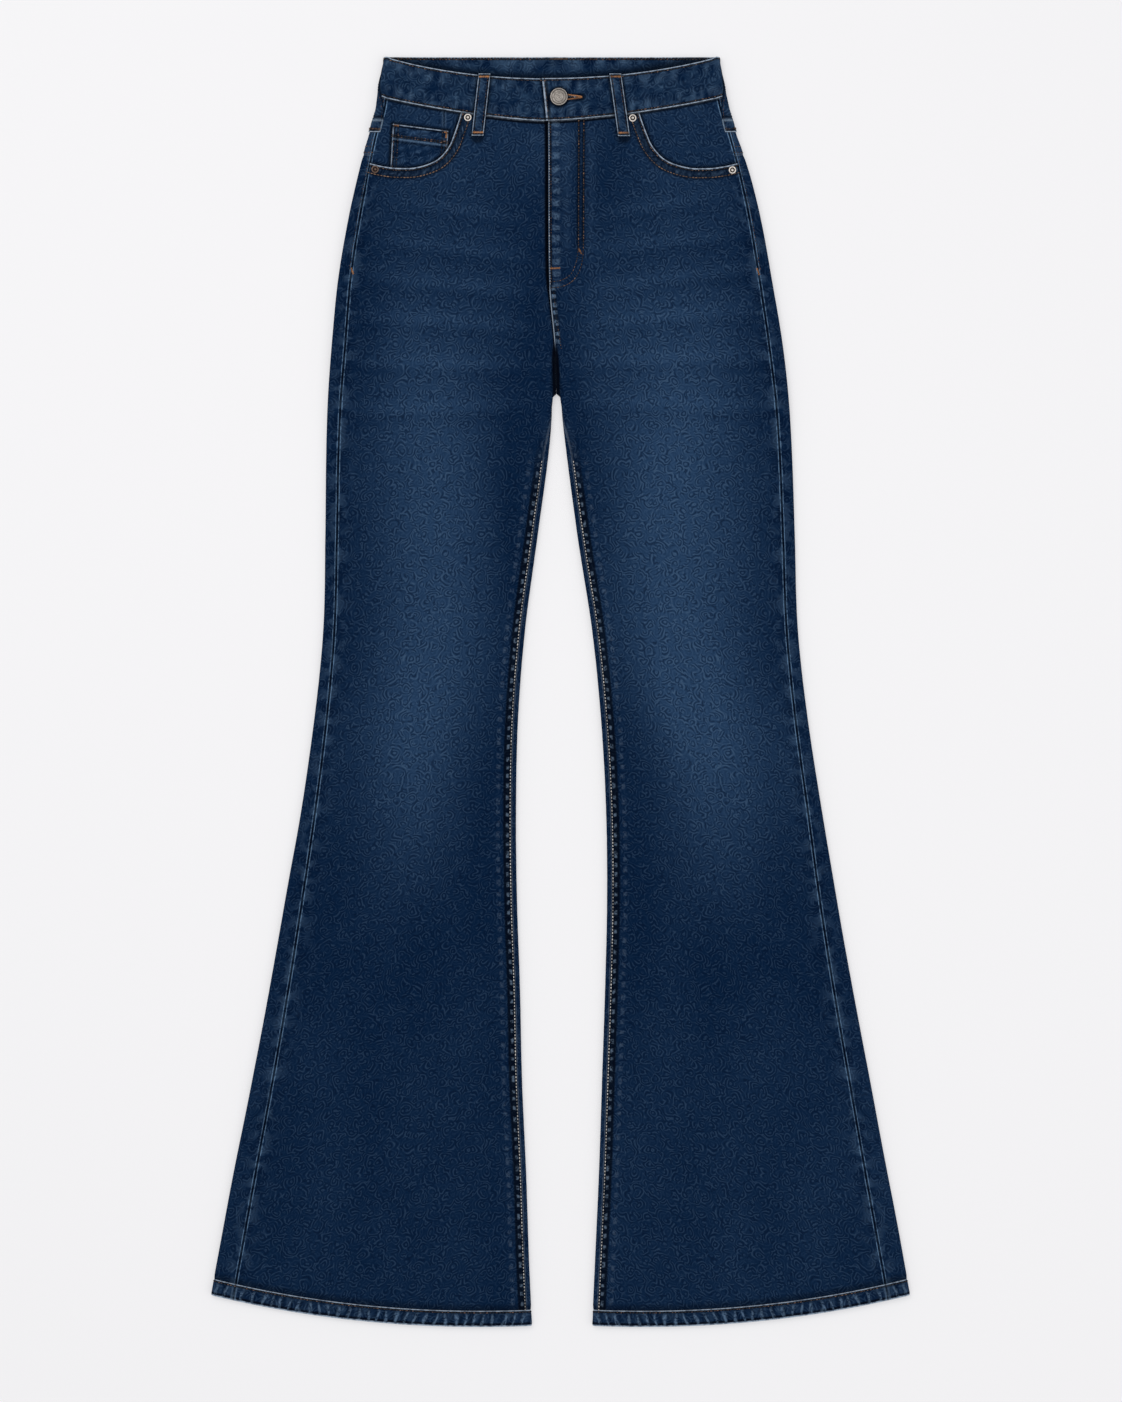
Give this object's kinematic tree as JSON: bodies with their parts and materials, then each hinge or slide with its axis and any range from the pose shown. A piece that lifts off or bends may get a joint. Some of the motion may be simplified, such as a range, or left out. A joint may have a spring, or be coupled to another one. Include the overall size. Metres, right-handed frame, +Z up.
{
  "type": "flared jeans",
  "caption": "High-rise flared denim jeans laid flat, front up, with zip fly, shank button, scooped front pockets, coin pocket, belt loops and wide hems.",
  "frame": {"origin": "bottom centre of the bounding box, on the surface that the jeans lie on", "axes": "+Z up out of the front, +Y along the legs towards the waist, +X to the wearer's left"},
  "size_m": [0.6291, 1.1434, 0.0122],
  "materials": {
    "denim": "dark indigo stretch denim, matte, finely slubbed",
    "worn_denim": "the same denim with its raised edges worn paler",
    "zip_tape": "woven dark tape",
    "pewter": "antique pewter, satin"
  },
  "bodies": {
    "root": {"back_left": "denim", "back_pocket_left": "denim", "back_pocket_right": "denim", "back_right": "denim", "button": "pewter", "coin_pocket": "worn_denim", "fly_shield": "denim", "front_left": "denim", "front_right": "denim", "hem_left": "denim", "hem_right": "denim", "loop_back": "worn_denim", "loop_front_left": "worn_denim", "loop_front_right": "worn_denim", "loop_side_left": "worn_denim", "loop_side_right": "worn_denim", "pocket_facing_left": "denim", "pocket_facing_right": "denim", "rivet_1": "pewter", "rivet_2": "pewter", "rivet_3": "pewter", "rivet_4": "pewter", "waistband": "worn_denim", "yoke_left": "denim", "yoke_right": "denim", "zip": "zip_tape"}
  },
  "joints": []
}
